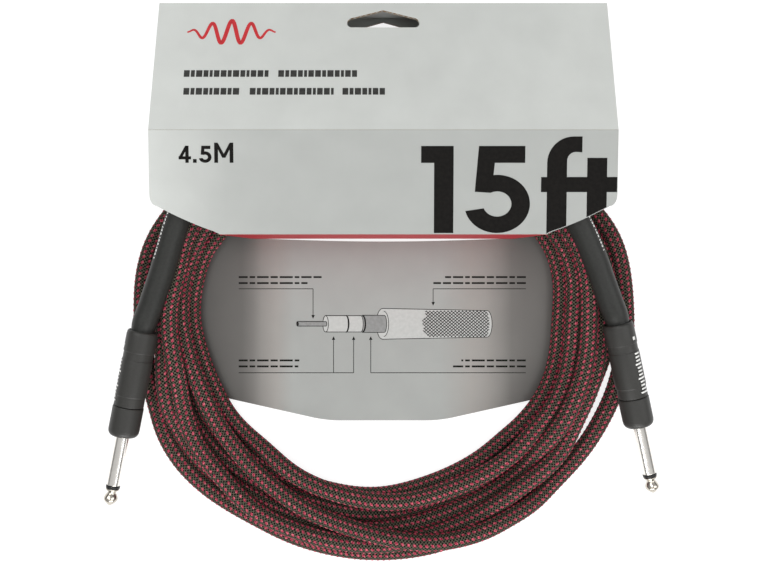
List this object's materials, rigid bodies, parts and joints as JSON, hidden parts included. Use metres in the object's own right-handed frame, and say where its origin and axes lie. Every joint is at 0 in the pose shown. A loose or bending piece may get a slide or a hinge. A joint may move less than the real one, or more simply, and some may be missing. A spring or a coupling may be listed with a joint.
{
  "type": "instrument cable",
  "caption": "Braided instrument cable with a straight jack plug on each end, wound into an oval coil that a folded card sleeve with a hang hole holds together.",
  "frame": {"origin": "centre of the footprint, on the surface that the card back lies on", "axes": "+X across the card, +Y from the plug tips to the hanging edge, +Z out of the card's back towards its printed front"},
  "size_m": [0.2488, 0.253, 0.038],
  "materials": {
    "card_grey": "satin printed micro-flute board",
    "card_red": "satin printed micro-flute board",
    "braid": "two-colour textile braid",
    "shell_black": "matte",
    "heat_shrink": "matte",
    "nickel": "polished nickel",
    "brass": "satin",
    "copper": "bare copper",
    "plastic_clear": "natural",
    "plastic_black": "moulded"
  },
  "bodies": {
    "root": {"card_back_panel": "card_grey", "cable_coil": "braid", "nose_shell_a": "shell_black", "sleeve_contact_a": "nickel", "tip_contact_a": "nickel", "tip_insulator_a": "plastic_black", "rod_insulator_a": "plastic_clear", "rear_washer_a": "plastic_black", "tip_solder_lug_a": "brass", "ground_lug_a": "brass", "shield_pigtail_a": "copper", "core_insulation_a": "plastic_clear", "core_conductor_a": "copper", "heat_shrink_boot_a": "heat_shrink", "cable_lead_a": "braid", "nose_shell_b": "shell_black", "sleeve_contact_b": "nickel", "tip_contact_b": "nickel", "tip_insulator_b": "plastic_black", "rod_insulator_b": "plastic_clear", "rear_washer_b": "plastic_black", "tip_solder_lug_b": "brass", "ground_lug_b": "brass", "shield_pigtail_b": "copper", "core_insulation_b": "plastic_clear", "core_conductor_b": "copper", "heat_shrink_boot_b": "heat_shrink", "cable_lead_b": "braid"},
    "card_top": {"card_top_panel": "card_grey"},
    "card_upper": {"card_front_upper": "card_grey"},
    "card_lower": {"card_front_lower": "card_grey"},
    "card_flap": {"card_tuck_flap": "card_red"},
    "liner_a": {"barrel_liner_a": "plastic_clear"},
    "barrel_a": {"barrel_a": "shell_black"},
    "liner_b": {"barrel_liner_b": "plastic_clear"},
    "barrel_b": {"barrel_b": "shell_black"}
  },
  "joints": [
    {"name": "back_top_crease", "type": "hinge", "parent": "root", "child": "card_top", "pos_m": [0, 0.1265, 0], "axis": [-1, 0, 0], "range_deg": [0, 90]},
    {"name": "top_front_crease", "type": "hinge", "parent": "card_top", "child": "card_upper", "pos_m": [0, 0.1265, 0.0195], "axis": [-1, 0, 0], "range_deg": [0, 72]},
    {"name": "front_crease", "type": "hinge", "parent": "card_upper", "child": "card_lower", "pos_m": [0, 0.0666, 0.038], "axis": [-1, 0, 0], "range_deg": [0, 21]},
    {"name": "flap_crease", "type": "hinge", "parent": "card_lower", "child": "card_flap", "pos_m": [0, 0.0223, 0.035], "axis": [-1, 0, 0], "range_deg": [0, 85]},
    {"name": "barrel_travel_a", "type": "slide", "parent": "root", "child": "liner_a", "axis": [0.1959, 0.9803, 0.0262], "range_m": [0, 0.003]},
    {"name": "barrel_spin_a", "type": "hinge", "parent": "liner_a", "child": "barrel_a", "pos_m": [-0.1066, -0.0198, 0.022], "axis": [0.1959, 0.9803, 0.0262], "range_deg": [0, 1440]},
    {"name": "barrel_travel_b", "type": "slide", "parent": "root", "child": "liner_b", "axis": [-0.2292, 0.9695, 0.0872], "range_m": [0, 0.003]},
    {"name": "barrel_spin_b", "type": "hinge", "parent": "liner_b", "child": "barrel_b", "pos_m": [0.1039, -0.0163, 0.022], "axis": [-0.2292, 0.9695, 0.0872], "range_deg": [0, 1440]}
  ],
  "couplings": [
    {"joint": "barrel_spin_a", "follows": "barrel_travel_a", "rad_per_m": 8377.6},
    {"joint": "barrel_spin_b", "follows": "barrel_travel_b", "rad_per_m": 8377.6}
  ]
}
